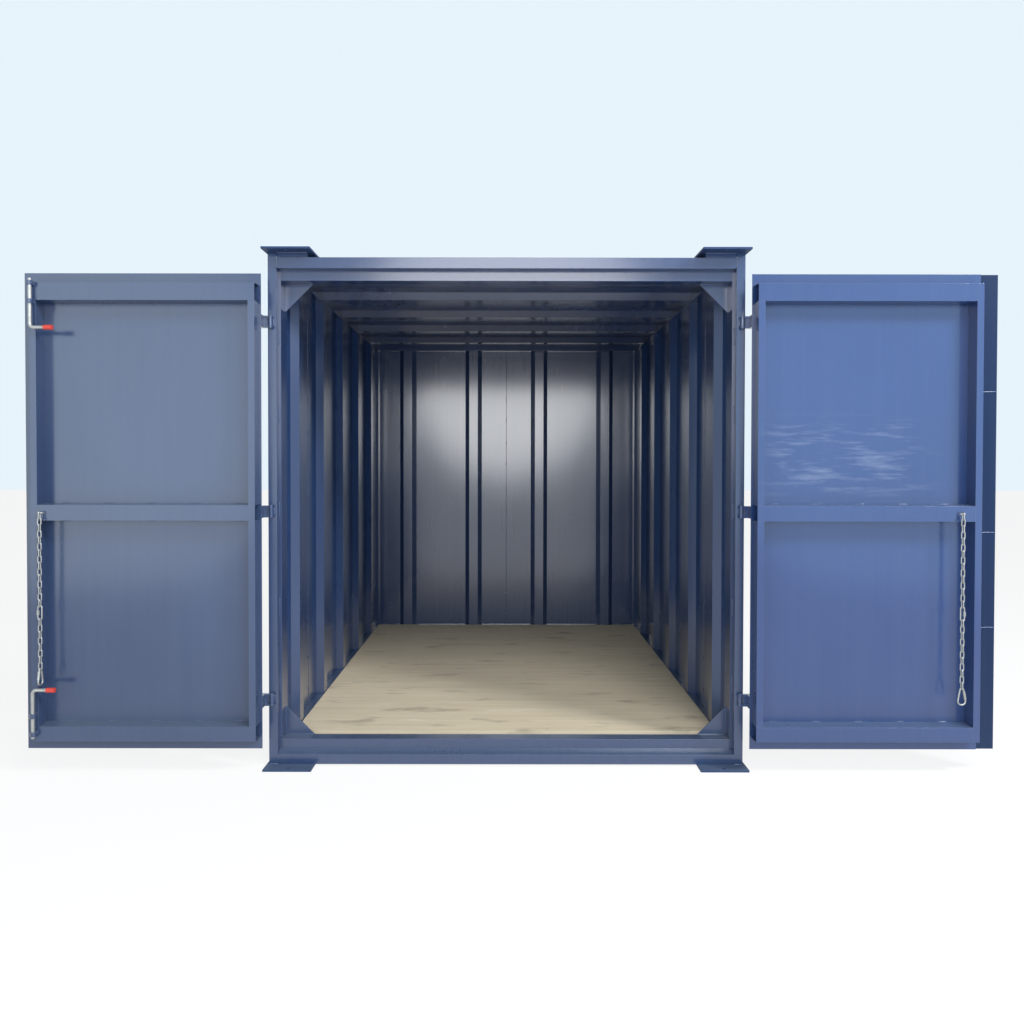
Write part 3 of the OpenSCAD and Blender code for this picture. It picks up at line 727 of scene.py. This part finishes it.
for side, paint in DOORS:
    skin_low, skin_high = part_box(f"{side}_door_skin")
    lug_low, lug_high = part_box(f"{side}_door_lugs")
    edge_x, foot_x = (skin_low.x, lug_high.x) if side == "right" else (skin_high.x, lug_low.x)
    start_x = edge_x + LUG_START_SHARE * (foot_x - edge_x)
    runs = [((start_x, skin_high.y, z), (foot_x, skin_high.y, z)) for z in levels(f"{side}_door_lugs", Z)]
    weld(f"{side}_lug_welds", f"{side}_door", runs, paint, THIN_BEAD_R)

# %% [markdown]
# Inside a door, folded rails and stiles stiffen the thin skin. They are stitched to it as well, so
# that the outside stays flat. The stitches sit where a rail's spread flanks meet the skin.

# %% Stitch the door rails
RAIL_STITCH = 0.045
RAIL_STITCHES = 5
RAIL_EDGES = 4

for side, paint in DOORS:
    rail_low, rail_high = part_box(f"{side}_door_rails")
    skin_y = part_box(f"{side}_door_skin")[0].y
    edges = sorted({round(corner.z, 4) for corner in corners_at(f"{side}_door_rails", Y, skin_y)})
    outer_edges = [edges[k + end] for k in range(0, len(edges), RAIL_EDGES) for end in (0, RAIL_EDGES - 1)]
    runs = []
    for z in outer_edges:
        for k in range(RAIL_STITCHES):
            x = rail_low.x + (k + 0.5) / RAIL_STITCHES * (rail_high.x - rail_low.x)
            runs.append(((x - RAIL_STITCH / 2, skin_y, z), (x + RAIL_STITCH / 2, skin_y, z)))
    weld(f"{side}_rail_stitches", f"{side}_door", runs, paint, THIN_BEAD_R)

# %% [markdown]
# The bolt guides stand on the left door's meeting stile. A short bead on each side of a guide's foot
# holds it.

# %% Weld the bolt guides
FINE_BEAD_R = 0.0025

stile_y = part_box("left_door_stiles")[0].y
foot_xs = [corner.x for corner in corners_at("bolt_guides", Y, stile_y)]
guide_levels = levels("bolt_guides", Z)
runs = []
for bottom, top in zip(guide_levels[::2], guide_levels[1::2]):
    for x in (min(foot_xs), max(foot_xs)):
        runs.append(((x, stile_y, bottom), (x, stile_y, top)))
weld("guide_welds", "left_door", runs, left_door_paint, FINE_BEAD_R)

# %% [markdown]
# The cover strip on the right door is folded from several lengths of strip. Where two lengths meet,
# a thin butt weld crosses it and catches the light.

# %% Join the cover strip
STRIP_JOINTS = (1.924, 1.215, 0.733)

strip_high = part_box("right_door_cover_strip")[1]
strip_y = min(corner.y for corner in corners_at("right_door_cover_strip", X, strip_high.x))
strip_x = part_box("right_door_skin")[1].x
runs = [((strip_x, strip_y, z), (strip_high.x, strip_y, z)) for z in STRIP_JOINTS]
weld("strip_welds", "right_door", runs, right_door_paint, FINE_BEAD_R)

# %% [markdown]
# Walls and roof are pressed from sheets about as wide as two ribs. Where two sheets meet in the
# middle of a flat pan, a fine seam runs from rail to rail. The inner face of a pan is the third of a
# sheet's levels, so the seams find their planes there.

# %% Seam the sheets
SEAM_R = 0.002
SEAMS_FROM_FRONT = (0.625, 1.785)
PAN_LEVEL = 2

rear_low, rear_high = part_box("rear_wall")
wall_low, wall_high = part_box("right_wall")
roof_low, roof_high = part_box("roof")
rear_pan_y = levels("rear_wall", Y)[PAN_LEVEL]
wall_pan_x = levels("right_wall", X)[PAN_LEVEL]
roof_pan_z = levels("roof", Z)[PAN_LEVEL]
rear_seam = ((0, rear_pan_y, rear_low.z), (0, rear_pan_y, rear_high.z))
other_seams = []
for y in (front_y + distance for distance in SEAMS_FROM_FRONT):
    other_seams.append(((roof_low.x, y, roof_pan_z), (roof_high.x, y, roof_pan_z)))
    other_seams += both_sides([((wall_pan_x, y, wall_low.z), (wall_pan_x, y, wall_high.z))])
weld("sheet_seams", "cabin", [rear_seam, *other_seams], wall_paint, SEAM_R)

# %% [markdown]
# A seam is tacked at even steps. Every tack stands out as a small blob, which is what tells the eye
# that the wall is several sheets. On the rear wall the tacks have rubbed paler.

# %% Tack the seams
TACK_R = 0.005
TACK_L = 0.016
TACK_STEP = 0.19


def tacks(start, end):
    """Short runs at even steps between two points."""
    start, end = Vector(start), Vector(end)
    way = (end - start).normalized()
    count = int((end - start).length / TACK_STEP)
    places = [start + (k + 0.5) * TACK_STEP * way for k in range(count)]
    return [(place - TACK_L / 2 * way, place + TACK_L / 2 * way) for place in places]


weld("rear_tacks", "cabin", tacks(*rear_seam), tack_paint, TACK_R)
weld("seam_tacks", "cabin", [tack for seam in other_seams for tack in tacks(*seam)], wall_paint, TACK_R)
